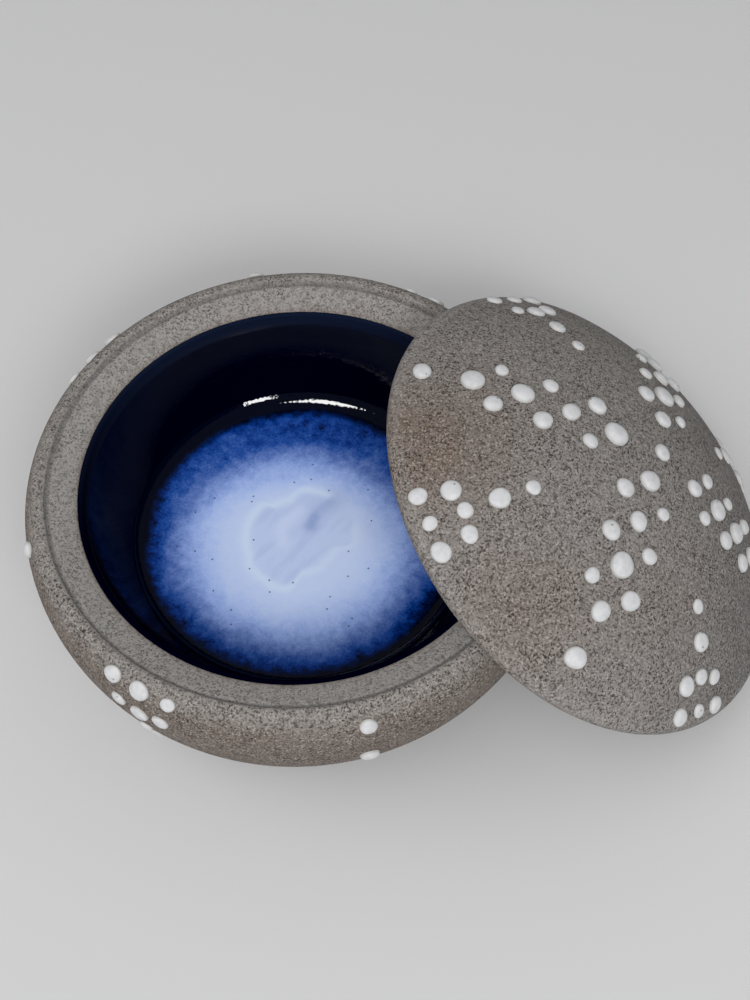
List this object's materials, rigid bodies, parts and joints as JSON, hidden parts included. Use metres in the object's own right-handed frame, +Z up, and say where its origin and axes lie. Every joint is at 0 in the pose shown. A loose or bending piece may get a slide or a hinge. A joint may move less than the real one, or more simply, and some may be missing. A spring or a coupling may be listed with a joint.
{
  "type": "lidded pottery jar",
  "caption": "Squat lidded stoneware jar with a glazed bowl and raised slip beads, shown with its domed lid leaned on the rim.",
  "frame": {"origin": "on the table, under the middle of the box round the jar and its leaned lid", "axes": "+Z up along the jar's axis, +X from the jar towards the leaned lid"},
  "size_m": [0.1702, 0.12, 0.0631],
  "materials": {
    "jar_clay": "unglazed speckled stoneware, matte",
    "lid_clay": "unglazed speckled stoneware, matte",
    "navy_glaze": "glossy navy glaze",
    "pool_glass": "glossy pooled glass, pale blue with a navy edge",
    "white_slip": "raised white slip, satin"
  },
  "bodies": {
    "jar": {"jar_bead_1_1": "white_slip", "jar_bead_1_2": "white_slip", "jar_bead_2_1": "white_slip", "jar_bead_2_2": "white_slip", "jar_bead_3_1": "white_slip", "jar_bead_3_2": "white_slip", "jar_bead_4_1": "white_slip", "jar_bead_4_2": "white_slip", "jar_body": "jar_clay", "jar_glass_pool": "pool_glass", "jar_glaze_lining": "navy_glaze"},
    "lid": {"lid_arm_1_bead_1": "white_slip", "lid_arm_1_bead_2": "white_slip", "lid_arm_1_bead_3": "white_slip", "lid_arm_1_bead_4": "white_slip", "lid_arm_1_bead_5": "white_slip", "lid_arm_1_left_1": "white_slip", "lid_arm_1_left_2": "white_slip", "lid_arm_1_left_3": "white_slip", "lid_arm_1_right_1": "white_slip", "lid_arm_1_right_2": "white_slip", "lid_arm_1_right_3": "white_slip", "lid_arm_2_bead_1": "white_slip", "lid_arm_2_bead_2": "white_slip", "lid_arm_2_bead_3": "white_slip", "lid_arm_2_bead_4": "white_slip", "lid_arm_2_bead_5": "white_slip", "lid_arm_2_left_1": "white_slip", "lid_arm_2_left_2": "white_slip", "lid_arm_2_left_3": "white_slip", "lid_arm_2_right_1": "white_slip", "lid_arm_2_right_2": "white_slip", "lid_arm_2_right_3": "white_slip", "lid_arm_3_bead_1": "white_slip", "lid_arm_3_bead_2": "white_slip", "lid_arm_3_bead_3": "white_slip", "lid_arm_3_bead_4": "white_slip", "lid_arm_3_bead_5": "white_slip", "lid_arm_3_left_1": "white_slip", "lid_arm_3_left_2": "white_slip", "lid_arm_3_left_3": "white_slip", "lid_arm_3_right_1": "white_slip", "lid_arm_3_right_2": "white_slip", "lid_arm_3_right_3": "white_slip", "lid_arm_4_bead_1": "white_slip", "lid_arm_4_bead_2": "white_slip", "lid_arm_4_bead_3": "white_slip", "lid_arm_4_bead_4": "white_slip", "lid_arm_4_bead_5": "white_slip", "lid_arm_4_left_1": "white_slip", "lid_arm_4_left_2": "white_slip", "lid_arm_4_left_3": "white_slip", "lid_arm_4_right_1": "white_slip", "lid_arm_4_right_2": "white_slip", "lid_arm_4_right_3": "white_slip", "lid_bead_centre": "white_slip", "lid_body": "lid_clay", "lid_glaze_lining": "navy_glaze"}
  },
  "joints": [
    {"name": "lid_lift", "type": "slide", "parent": "jar", "child": "lid", "axis": [0, 0, 1], "range_m": [0, 0.12]}
  ]
}
